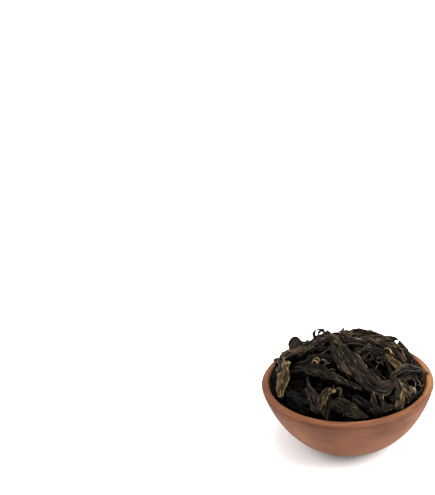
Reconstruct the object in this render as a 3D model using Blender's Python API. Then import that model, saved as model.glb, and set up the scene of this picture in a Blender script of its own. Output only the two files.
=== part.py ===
"""A small turned wooden bowl heaped with dried wakame seaweed.

The origin is at the middle of the bowl's flat base, and +Z is up. Lengths are in millimetres up to the
point where a mesh is made, which turns them into metres. The bowl is a turned profile. The wakame is one
solid: a core that fills the bowl up to a dome, with the fronds that show lying over it, fused on.
"""

import math
import random

import bmesh
import bpy
import numpy as np
from mathutils import Vector, noise

MM = 0.001

# The bowl
RIM_RADIUS = 60.0
BOWL_HEIGHT = 46.7
LIP_WIDTH = 5.2
LIP_DROP = 1.4  # the lip falls this much from its inner edge to its outer one
LIP_ROUND = 1.1
LIP_EDGE = ((-2.2, 0.75), (-0.7, 0.2), (0.0, -1.0))  # out and up from the rim's outer corner, in lip rounds
FOOT_RADIUS = 17.0
FLOOR_HEIGHT = 6.5  # the thickness of the bowl under its middle
WALL_FULLNESS = (1.28, 2.14)  # how the outer wall swells between a cone and a barrel
HOLLOW_FULLNESS = (1.9, 2.1)
BOWL_SIDES = 44
WALL_STEPS = 8
WALL_CROWDING = 2.0  # above 1, the steps crowd together where the wall turns under
HOLLOW_CROWDING = 1.7
WOOD_COLOUR = (0.36, 0.16, 0.08)
MOUTH_RADIUS = RIM_RADIUS - LIP_WIDTH

# The heap
CLEARANCE = 0.4  # between the wakame and the wood
SIDE_CLEARANCE = 0.7  # the same beside a frond, whose flat faces cut across the wall's curve
NARROWER_BELOW = 1.0  # the hollow's radius is taken this far under a frond, where it is less
HEAP_CENTRE = (2.0, 2.0)
HEAP_EDGE_DEPTH = 7.0  # how far below the rim the heap meets the wall
HEAP_RISE = 32.5  # from there up to its top
HEAP_FULLNESS = (2.2, 0.75)
CORE_SIDES = 28
CORE_SINK = 1.2  # the core lies this far under the heap's smooth surface
CORE_RELIEF = 1.6
CORE_CREASE = 11.0  # the size of the core's humps
DOME_RINGS = (0.14, 0.28, 0.42, 0.55, 0.67, 0.78, 0.87, 0.94)  # as shares of the mouth's radius
FILL_RINGS = (0.0, 9.0, 18.0, 26.0)  # how far each lies under the dome's edge
WAKAME_COLOUR = (0.025, 0.022, 0.018)

# The fronds
FROND_THICKNESS = 1.4
FROND_STEP = 6.0  # between two rows of points along a frond
FROND_FACES = 4  # across a frond
PLEAT_DEPTH = 0.9
FLAT_ROW_SHARE = 0.6  # every other row's pleats are this much of the depth
CRUMPLE_RISE = 0.9
CRUMPLE_SIZE = 6.0
EDGE_DROOP = 0.28  # how far a frond's edges fall below its middle, as a share of its half width
TIP_SHARE = 0.2  # a frond's width at its tips
TIP_LENGTH = 0.1  # how much of a frond's length it narrows over, at each end
TIP_FULLNESS = 0.6  # nearer nought is blunter
CURVE_SAMPLES = 200
OUTWARD_LEAN = 0.9  # how much a frond's up leans outwards, towards the side of the heap it lies on
ROOT_LIFT = -2.0  # a frond starts this far under the heap's smooth surface, and grows out of the core
OVER_LIP = 3.5  # a frond whose middle comes this near the mouth's edge lies over the lip

# Each frond that the front shows: its name, its width, and the points it passes through, each as the
# place on the bowl's plan and the height above the heap's smooth surface.
NAMED_FRONDS = (
    ("middle_blade", 12.5, ((-2.5, -1, 2), (0, -12.5, 4), (4.5, -21.5, 4.5), (9, -29, 4.5),
                            (14.5, -33.5, 4), (20.5, -36.5, 3.5), (25.5, -35, 3), (30.5, -28.5, 1))),
    ("top_bundle", 9.0, ((2, 12, 3), (10, 15, 3.5), (19, 14, 3.5), (28, 11, 3.5), (37, 7, 3), (43, 0, 1))),
    ("right_drape", 3.5, ((37, 20, 3), (41, 10, 4.5), (43, 4, 4.5), (45, -1, 3), (46, -5, 1),
                          (47, -10, -1))),
    ("inner_drape", 3.0, ((29.5, 6.5, 3), (34.5, -0.5, 4), (38, -7, 4), (40.5, -9, 2), (42, -9.5, 0))),
    ("golden_patch", 8.5, ((26, -7.5, 1), (30.5, -13, 4), (34, -15, 4.5), (39, -14.5, 2))),
    ("right_arch", 3.2, ((29.5, -29, -1), (30.5, -28.5, 4), (33, -26, 6.5), (38, -20.5, 7), (44, -13.5, 6),
                         (50, -6.5, 4.5), (54, 1, 2.5), (57, 2, 1.5))),
    ("arch_tassel", 5.0, ((35, -25, 1), (36, -31, 3), (35, -36, 3), (33, -39, 1.5), (32, -42, -1))),
    ("front_right_a", 3.5, ((16, -37, 0), (17, -42, 2), (19, -46, 1.5), (23, -47, -1))),
    ("front_right_b", 4.0, ((21, -37, 1), (23, -42, 2.5), (24, -47, 0))),
    ("front_leaf", 10.0, ((13.5, -51, 0), (7, -50.5, 2), (1.5, -49, 3), (-4.5, -47, 3), (-11.5, -44, 1))),
    ("front_purple", 7.0, ((-27, -30, 1), (-24, -37, 3), (-22, -42, 3), (-20, -46, 0))),
    ("front_gold", 5.0, ((-19, -46, 0), (-17, -43, 2.5), (-14, -40, 3.5), (-10, -37, 2))),
    ("diagonal_blade", 4.5, ((-20, -21, 1), (-12.5, -28.5, 3), (-6, -33, 3.5), (0, -36, 3.5), (6, -38, 2.5),
                             (10.5, -38, 0))),
    ("left_golden", 8.5, ((-44.5, 16.5, 2), (-42.5, -3.5, 4), (-42.5, -13, 5), (-44.5, -18, 5),
                          (-46, -21, 4), (-47, -23, 2))),
    ("left_shoulder", 6.0, ((-27, 10, 2), (-35, 10, 4.5), (-43, 16, 4.5), (-50, 24, 2.5), (-52.5, 27, 1))),
    ("knob_leaf", 13.0, ((-34.5, 2.5, 0), (-35, 9, 2), (-36, 12, 6), (-37, 15, 8.5), (-37.5, 17, 10.5))),
    ("ridge_blade", 5.0, ((-9, 13, 2), (-17, 8, 4), (-22, 4, 4), (-27, 1, 3.5), (-32, 2, 2.5),
                          (-38, 7, 1))),
    ("top_loop", 2.2, ((-20, 14.5, 0), (-21.5, 12.5, 5), (-22, 13.5, 8.5), (-20, 14, 10.2), (-17, 14, 9.8),
                       (-14, 14, 7.5))),
    ("centre_fold", 6.0, ((-10, 5, 3), (-8.5, -6, 4), (-7, -15, 4), (-3, -24, 4), (1, -28, 3),
                          (6, -31, 1))),
    ("upper_left_blade", 6.0, ((-35, -5, 0), (-24, -11, 2.5), (-13, -14, 2), (-3, -17, 0))),
    ("lower_left_blade", 5.0, ((-41, -8, -1), (-31, -16, 2.5), (-19, -21, 2.5), (-9, -25, -1))),
    ("ridged_leaf", 8.0, ((6, -3, 0), (16, -8, 3), (25, -13, 2.5), (31, -21, -1))),
    ("left_tip", 2.0, ((-11, 9, -1), (-12, 12, 5), (-13, 14, 9.5))),
    ("crown_tip", 2.0, ((-3.5, 10, -1), (-3, 13, 4), (-0.5, 15, 8))),
    ("left_front_leaf", 6.0, ((-43, -22, -1), (-37, -29, 1.5), (-32, -36, 1), (-29, -42, -2))),
    ("right_low_leaf", 5.5, ((37, -22, 0), (41, -27, 1.5), (41, -34, -1))),
    ("crown_leaf", 7.0, ((2, 4, 1), (13, 4, 3.5), (24, 1, 3), (33, -4, 0))),
    ("crown_left_leaf", 6.0, ((-12, -2, 0), (-21, 0, 3), (-31, 3, 0))),
    ("crown_olive", 6.0, ((14, 3, 2), (20, 3, 4), (26, 4, 4), (32, 5, 4), (37, 7, 2))),
    ("crown_purple", 5.0, ((-1, 6, 3), (5, 1, 4), (11, -1, 4), (18, -2, 2))),
    ("rising_leaf", 4.5, ((3, -13, 0), (8, -10, 2), (14, -6, 2), (20, 0, 0))),
    ("golden_lump", 6.0, ((25.5, -3.5, 2), (28.5, -6, 4.5), (32.5, -8, 3.5))),
    ("tassel_fan", 4.0, ((37, -26, 1), (39, -30, 3), (40, -33, 2.5), (40, -36, 0))),
    ("blade_lobe", 6.0, ((-6, -17.5, 3), (-3, -24, 4.5), (1, -28, 4), (4, -30, 2))),
    ("left_lump", 4.5, ((-34, -11, 0), (-28, -19, 3), (-22, -24, 3), (-17, -27, 2), (-12, -30, 0))),
)

# The fronds behind, which are spread by a rule, with what each one draws between two limits
REAR_PLACES = 34
REAR_LINE = 15.0  # they lie beyond this
REAR_SEED = 7
REAR_REACH = 50.0  # the furthest place from the bowl's axis
REAR_TURN = (35, 145)  # from outwards to a frond's heading, in degrees
REAR_BEND = (-50, 50)
REAR_HALF_LENGTH = (11, 19)
REAR_WIDTH = (5.5, 10.0)
REAR_LIFT = (-0.5, 1.5)
REAR_MIDDLE = 0.35  # how far along each half of a rear frond it still lies at its full lift
REAR_END_LIFT = -1
GOLDEN_ANGLE = math.pi * (3 - math.sqrt(5))


def outer_radius(height):
    """The radius of the bowl's outside, from its foot up to the lip."""
    across, up = WALL_FULLNESS
    below_lip = 1 - height / (BOWL_HEIGHT - LIP_DROP)
    return FOOT_RADIUS + (RIM_RADIUS - FOOT_RADIUS) * (1 - below_lip**across) ** (1 / up)


def hollow_radius(height):
    """The radius of the bowl's hollow, which is nought at its floor."""
    across, up = HOLLOW_FULLNESS
    below_rim = (BOWL_HEIGHT - height) / (BOWL_HEIGHT - FLOOR_HEIGHT)
    return MOUTH_RADIUS * (1 - min(max(below_rim, 0.0), 1.0) ** across) ** (1 / up)


def bowl_profile():
    """(radius, height) points from the lip down the outside, across the base and up the hollow."""
    lip_height = BOWL_HEIGHT - LIP_DROP
    lip = [(MOUTH_RADIUS + LIP_ROUND, BOWL_HEIGHT - 0.1 * LIP_ROUND)]
    lip += [(RIM_RADIUS + out * LIP_ROUND, lip_height + up * LIP_ROUND) for out, up in LIP_EDGE]
    outside = []
    for step in range(WALL_STEPS - 1, 0, -1):
        height = lip_height * (step / WALL_STEPS) ** WALL_CROWDING
        outside.append((outer_radius(height), height))
    base = [(FOOT_RADIUS, 0.0), (0.0, 0.0)]
    hollow = [(0.0, FLOOR_HEIGHT)]
    for step in range(1, WALL_STEPS):
        height = FLOOR_HEIGHT + (BOWL_HEIGHT - FLOOR_HEIGHT) * (step / WALL_STEPS) ** HOLLOW_CROWDING
        hollow.append((hollow_radius(height), height))
    inner_edge = [(MOUTH_RADIUS, BOWL_HEIGHT - LIP_ROUND)]
    return lip + outside + base + hollow + inner_edge


def heap_height(x, y):
    """The height of the heap's smooth surface over a point of the bowl's plan."""
    across, up = HEAP_FULLNESS
    out = min(math.hypot(x - HEAP_CENTRE[0], y - HEAP_CENTRE[1]) / (MOUTH_RADIUS + 1.5), 1.0)
    return BOWL_HEIGHT - HEAP_EDGE_DEPTH + HEAP_RISE * (1 - out**across) ** up


def lying_height(x, y):
    """What a frond lies on: the heap, then the lip."""
    share = (math.hypot(x, y) - (MOUTH_RADIUS - OVER_LIP)) / OVER_LIP
    share = min(max(share, 0.0), 1.0)
    share = share * share * (3 - 2 * share)
    return heap_height(x, y) * (1 - share) + BOWL_HEIGHT * share


def plain_material(name, colour, roughness):
    material = bpy.data.materials.new(name)
    material.use_nodes = True
    surface = material.node_tree.nodes["Principled BSDF"]
    surface.inputs["Base Color"].default_value = (*colour, 1.0)
    surface.inputs["Roughness"].default_value = roughness
    return material


def object_of(name, points, faces):
    """An object from points in millimetres."""
    mesh = bpy.data.meshes.new(name)
    mesh.from_pydata([tuple(c * MM for c in point) for point in points], [], faces)
    mesh.validate()
    item = bpy.data.objects.new(name, mesh)
    bpy.context.scene.collection.objects.link(item)
    return item


def turned(name, profile, sides):
    """A closed solid from a profile that starts or ends on the axis, or comes round to its start."""
    points = []
    rings = []
    for radius, height in profile:
        if radius == 0.0:
            rings.append([len(points)])
            points.append((0.0, 0.0, height))
            continue
        rings.append(list(range(len(points), len(points) + sides)))
        for side in range(sides):
            angle = 2 * math.pi * side / sides
            points.append((radius * math.cos(angle), radius * math.sin(angle), height))
    faces = []
    closing = [] if len(rings[0]) == 1 else [(rings[-1], rings[0])]
    for upper, lower in list(zip(rings, rings[1:])) + closing:
        if len(upper) == len(lower) == 1:
            continue
        for side in range(sides):
            after = (side + 1) % sides
            if len(upper) == 1:
                faces.append((upper[0], lower[side], lower[after]))
            elif len(lower) == 1:
                faces.append((upper[side], lower[0], upper[after]))
            else:
                faces.append((upper[side], lower[side], lower[after], upper[after]))
    return object_of(name, points, faces)


def wooden_bowl():
    bowl = turned("bowl", bowl_profile(), BOWL_SIDES)
    bowl.data.materials.append(plain_material("bowl_wood", WOOD_COLOUR, 0.45))
    bowl.data.shade_smooth()
    bowl.data.set_sharp_from_angle(angle=math.radians(35))
    return bowl


def heap_core():
    """The wakame that fills the hollow, up to a humped dome."""
    start = BOWL_HEIGHT - HEAP_EDGE_DEPTH
    dome = [(0.0, 0.0)] + [(MOUTH_RADIUS * share, 0.0) for share in DOME_RINGS]
    heights = [start - depth for depth in FILL_RINGS] + [FLOOR_HEIGHT + 2.0]
    inside = [(hollow_radius(height - CLEARANCE) - CLEARANCE, height) for height in heights]
    core = turned("wakame_heap", dome + inside + [(0.0, FLOOR_HEIGHT + CLEARANCE)], CORE_SIDES)
    for vertex in core.data.vertices:
        x, y, z = vertex.co / MM
        if z == 0.0:
            hump = CORE_RELIEF * noise.noise(Vector((x, y, 0.0)) / CORE_CREASE)
            vertex.co.z = (heap_height(x, y) - CORE_SINK + hump) * MM
    return core


def smooth_route(route):
    """Points at even distances along a smooth curve through the route's points (Catmull-Rom)."""
    knots = np.array(route, float)
    knots = np.vstack((2 * knots[0] - knots[1], knots, 2 * knots[-1] - knots[-2]))
    along = np.linspace(0, len(knots) - 3, CURVE_SAMPLES)
    first = np.minimum(along.astype(int), len(knots) - 4)
    part = (along - first)[:, None]
    a, b, c, d = knots[first], knots[first + 1], knots[first + 2], knots[first + 3]
    bend = 2 * a - 5 * b + 4 * c - d
    twist = 3 * b - a - 3 * c + d
    curve = b + 0.5 * part * ((c - a) + part * (bend + part * twist))
    heights = [lying_height(x, y) + lift for x, y, lift in curve]
    line = np.column_stack((curve[:, :2], heights))
    reach = np.concatenate(([0.0], np.cumsum(np.linalg.norm(np.diff(line, axis=0), axis=1))))
    stops = np.linspace(0, reach[-1], max(4, round(reach[-1] / FROND_STEP) + 1))
    return np.column_stack([np.interp(stops, reach, line[:, axis]) for axis in range(3)])


def clear_of_bowl(point, lies_over_lip):
    """The point, moved up off the lip or in from the wall where the wood is in its way."""
    x, y, z = point
    out = math.hypot(x, y)
    if lies_over_lip and out > MOUTH_RADIUS - OVER_LIP:
        return (x, y, max(z, BOWL_HEIGHT + CLEARANCE))
    most = hollow_radius(min(z, BOWL_HEIGHT) - NARROWER_BELOW) - SIDE_CLEARANCE
    if out > most:
        x, y = x * most / out, y * most / out
    return (x, y, z)


def frond(name, width, route):
    """A thin pleated strip that narrows to its tips, as a closed solid."""
    line = smooth_route(route)
    rows = len(line)
    heading = np.gradient(line, axis=0)
    points = [[], []]
    for row, (middle, ahead) in enumerate(zip(line, heading)):
        up = Vector((middle[0] * OUTWARD_LEAN, middle[1] * OUTWARD_LEAN, BOWL_HEIGHT)).normalized()
        side = Vector(ahead).normalized().cross(up).normalized()
        share = row / (rows - 1)
        inward = TIP_LENGTH + (1 - 2 * TIP_LENGTH) * share
        half = width / 2 * max(TIP_SHARE, math.sin(math.pi * inward) ** TIP_FULLNESS)
        over_lip = math.hypot(middle[0], middle[1]) > MOUTH_RADIUS - OVER_LIP
        for column in range(FROND_FACES + 1):
            across = 2 * column / FROND_FACES - 1
            spot = Vector((middle[0], middle[1], width * across)) / CRUMPLE_SIZE
            crumple = CRUMPLE_RISE * noise.noise(spot)
            pleat = PLEAT_DEPTH * (0.5 if column % 2 else -0.5) * (1 if row % 2 else FLAT_ROW_SHARE)
            rise = pleat + crumple - EDGE_DROOP * across * across * half
            place = Vector(middle) + side * (half * across) + up * rise
            for layer, lift in zip(points, (FROND_THICKNESS / 2, -FROND_THICKNESS / 2)):
                layer.append(clear_of_bowl(place + up * lift, over_lip))
    return object_of(name, points[0] + points[1], strip_faces(rows, FROND_FACES + 1))


def strip_faces(rows, columns):
    """Triangles of a strip's two faces, split alike, and of the edge all round."""
    under = rows * columns
    faces = []
    for row in range(rows - 1):
        for column in range(columns - 1):
            a = row * columns + column
            b, c, d = a + 1, a + columns + 1, a + columns
            faces += [(a, b, c), (a, c, d)]
            faces += [(under + a, under + c, under + b), (under + a, under + d, under + c)]
    rim = list(range(columns))
    rim += [row * columns + columns - 1 for row in range(1, rows)]
    rim += [(rows - 1) * columns + column for column in range(columns - 2, -1, -1)]
    rim += [row * columns for row in range(rows - 2, 0, -1)]
    for a, b in zip(rim, rim[1:] + rim[:1]):
        faces += [(a, under + b, b), (a, under + a, under + b)]
    return faces


def rear_fronds():
    """Fronds over the back of the heap: at the golden angle, each with a drawn length, bend and heading."""
    draw = random.Random(REAR_SEED)
    for place in range(REAR_PLACES):
        angle = place * GOLDEN_ANGLE
        out = REAR_REACH * math.sqrt((place + 0.5) / REAR_PLACES)
        x, y = out * math.cos(angle), out * math.sin(angle)
        heading = angle + math.radians(draw.uniform(*REAR_TURN))
        bend = math.radians(draw.uniform(*REAR_BEND))
        reach = draw.uniform(*REAR_HALF_LENGTH)
        width = draw.uniform(*REAR_WIDTH)
        lift = draw.uniform(*REAR_LIFT)
        if y < REAR_LINE:
            continue
        route = []
        stations = ((-1, REAR_END_LIFT), (-REAR_MIDDLE, lift), (REAR_MIDDLE, lift), (1, REAR_END_LIFT))
        for share, height in stations:
            turned_by = heading + bend * share
            px = x + reach * share * math.cos(turned_by)
            py = y + reach * share * math.sin(turned_by)
            pull = min(1.0, (MOUTH_RADIUS - OVER_LIP - 1) / math.hypot(px, py))
            route.append((px * pull, py * pull, height))
        yield f"rear_{place}", width, route


def outermost_shell(mesh):
    """Keeps the one shell that holds all the others, which fills sealed hollows and drops loose scraps."""
    work = bmesh.new()
    work.from_mesh(mesh)
    left = set(work.verts)
    shells = []
    while left:
        shell, front = set(), [left.pop()]
        while front:
            vertex = front.pop()
            shell.add(vertex)
            for edge in vertex.link_edges:
                other = edge.other_vert(vertex)
                if other in left:
                    left.remove(other)
                    front.append(other)
        shells.append(shell)
    shells.sort(key=len)
    bmesh.ops.delete(work, geom=[vertex for shell in shells[:-1] for vertex in shell], context="VERTS")
    work.to_mesh(mesh)
    work.free()


def wakame_heap():
    """The core and every frond, joined into one solid."""
    core = heap_core()
    strips = bpy.data.collections.new("fronds")
    bpy.context.scene.collection.children.link(strips)
    for name, width, route in list(NAMED_FRONDS) + list(rear_fronds()):
        (x, y, _), *rest = route
        strip = frond(name, width, [(x, y, ROOT_LIFT), *rest])
        bpy.context.scene.collection.objects.unlink(strip)
        strips.objects.link(strip)
    union = core.modifiers.new("fuse_fronds", "BOOLEAN")
    union.operation = "UNION"
    union.operand_type = "COLLECTION"
    union.collection = strips
    union.solver = "EXACT"
    union.use_self = True
    bpy.context.view_layer.objects.active = core
    with bpy.context.temp_override(object=core, active_object=core):
        bpy.ops.object.modifier_apply(modifier=union.name)
    for strip in list(strips.objects):
        bpy.data.objects.remove(strip)
    bpy.data.collections.remove(strips)
    outermost_shell(core.data)
    core.data.materials.append(plain_material("dried_wakame", WAKAME_COLOUR, 0.5))
    return core


def main():
    for item in list(bpy.data.objects):
        bpy.data.objects.remove(item)
    wooden_bowl()
    wakame_heap()


main()
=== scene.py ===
"""The looks of a small turned wooden bowl heaped with dried wakame.

The bowl is turned again with a finer profile and a grained wood. The heap is a dark crumpled core with
pleated fronds lying over it: the named ones lie where the solids have them, and the rest fill in between
by a rule. Lengths are in millimetres up to the point where a mesh is made.
"""

import math
import random

import bpy
import numpy as np
from mathutils import Matrix, Vector


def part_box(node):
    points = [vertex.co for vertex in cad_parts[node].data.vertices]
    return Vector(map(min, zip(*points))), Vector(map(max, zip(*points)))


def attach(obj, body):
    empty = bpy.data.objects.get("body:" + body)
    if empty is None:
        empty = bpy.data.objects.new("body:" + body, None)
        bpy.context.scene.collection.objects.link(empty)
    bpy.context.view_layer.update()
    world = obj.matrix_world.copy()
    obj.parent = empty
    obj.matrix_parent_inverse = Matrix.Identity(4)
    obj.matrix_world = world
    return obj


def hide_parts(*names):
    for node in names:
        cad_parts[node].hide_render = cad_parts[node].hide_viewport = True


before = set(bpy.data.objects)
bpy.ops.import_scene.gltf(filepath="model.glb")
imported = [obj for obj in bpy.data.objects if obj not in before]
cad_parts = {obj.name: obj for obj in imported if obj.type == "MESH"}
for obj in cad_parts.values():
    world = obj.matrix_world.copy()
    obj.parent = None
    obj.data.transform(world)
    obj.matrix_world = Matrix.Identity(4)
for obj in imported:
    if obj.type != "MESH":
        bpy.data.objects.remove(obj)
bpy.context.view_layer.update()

MM = 0.001
bowl_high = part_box("bowl")[1]
heap_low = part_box("wakame_heap")[0]

# The bowl, from the frame
LIP_EASE = 0.11  # how far the rounding of the lip's edge lowers its top
RIM_RADIUS = bowl_high.x / MM
BOWL_HEIGHT = bowl_high.z / MM + LIP_EASE
LIP_WIDTH = 5.2
LIP_DROP = 1.4
FOOT_RADIUS = 17.0
FLOOR_HEIGHT = 6.5
WALL_FULLNESS = (1.28, 2.14)
HOLLOW_FULLNESS = (1.9, 2.1)
MOUTH_RADIUS = RIM_RADIUS - LIP_WIDTH
BOWL_SIDES = 192
LIP_EDGE = 1.2
OUTER_EDGE_LIFT = 0.3
GROOVE = ((0.1, 0.0), (0.3, 0.35), (0.6, 0.35), (1.0, 0.0))  # how far below the lip's edge, and how deep
WALL_TOP_DROP = 1.5  # below the lip's edge
INNER_EDGE_POINTS, OUTER_EDGE_POINTS = 8, 10
WALL_STEPS, WALL_CROWDING = 40, 2  # the steps crowd toward the base
HOLLOW_STEPS, HOLLOW_CROWDING = 30, 1.8

# The heap
CLEARANCE = 0.4
HEAP_CENTRE = (2.0, 2.0)
HEAP_EDGE_DEPTH = 7.0
HEAP_EDGE_OUT = 1.5
HEAP_RISE = 32.5
HEAP_FULLNESS = (2.2, 0.75)
OVER_LIP = 3.5
WALL_BELOW = 1.0  # the hollow narrows downward, so a point keeps off the wall a little below it
CORE_BASE = heap_low.z / MM
CORE_SINK = 11.0
CORE_SIDES = 180
CORE_RINGS = 60
CORE_SIDE_RINGS = 12
CORE_FOOT_GAP = 1.2
CORE_HUMPS = ((2.2, 9.0), (0.5, 2.2))  # height and length
CORE_CREASES = (1.1, 5.0)
CORE_SEEDS = (31, 32)  # for the humps and the creases

# Strips spread over the heap by a rule. A strip's height over the heap, its width, its half length, and the
# turn of its heading in degrees are drawn between two values. The tones are the darkest and what is added.
GOLDEN_ANGLE = math.pi * (3 - math.sqrt(5))
MOST_BEND = 50.0
SPREAD_KNOTS = (-1, -0.35, 0.35, 1)
SPREADS = {
    "rear": dict(places=34, reach_out=50, seed=7, lifts=(-3, -1), widths=(5.5, 10), reaches=(11, 19),
                 turns=(35, 145), forms=("leaf", "blade", "crumpled", "leaf"), tones=(0.1, 0.5),
                 hue_step=0.37, first_seed=300, detail=1.0),
    "filling": dict(places=60, reach_out=51, seed=11, lifts=(-8, -3), widths=(6, 10), reaches=(10, 19),
                    turns=(0, 180), forms=("leaf", "blade", "leaf"), tones=(0.0, 0.15),
                    hue_step=0.37, first_seed=500, detail=0.6),
    "thin": dict(places=90, reach_out=52, seed=23, lifts=(-2, 3), widths=(0.8, 1.9), reaches=(5, 13),
                 turns=(0, 180), forms=("strand",), tones=(0.06, 0.48),
                 hue_step=0.61, first_seed=900, detail=0.8),
}
OFF_THE_WALL = 1.0
REAR_FROM = 15.0
OVER_GAPS = (20, 36, 39, 44, 59, 83, 86)  # thin strands that are left out, as they'd cross a dark gap
DARK_GAPS = ((4, -42, 8), (-34, -30, 9), (-48, 2, 8), (42, -36, 7), (14, -46, 5), (-30, -40, 6),
             (-36, -19, 8), (-20, -30, 7), (-37, 0, 7), (8, 2, 5))

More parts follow.
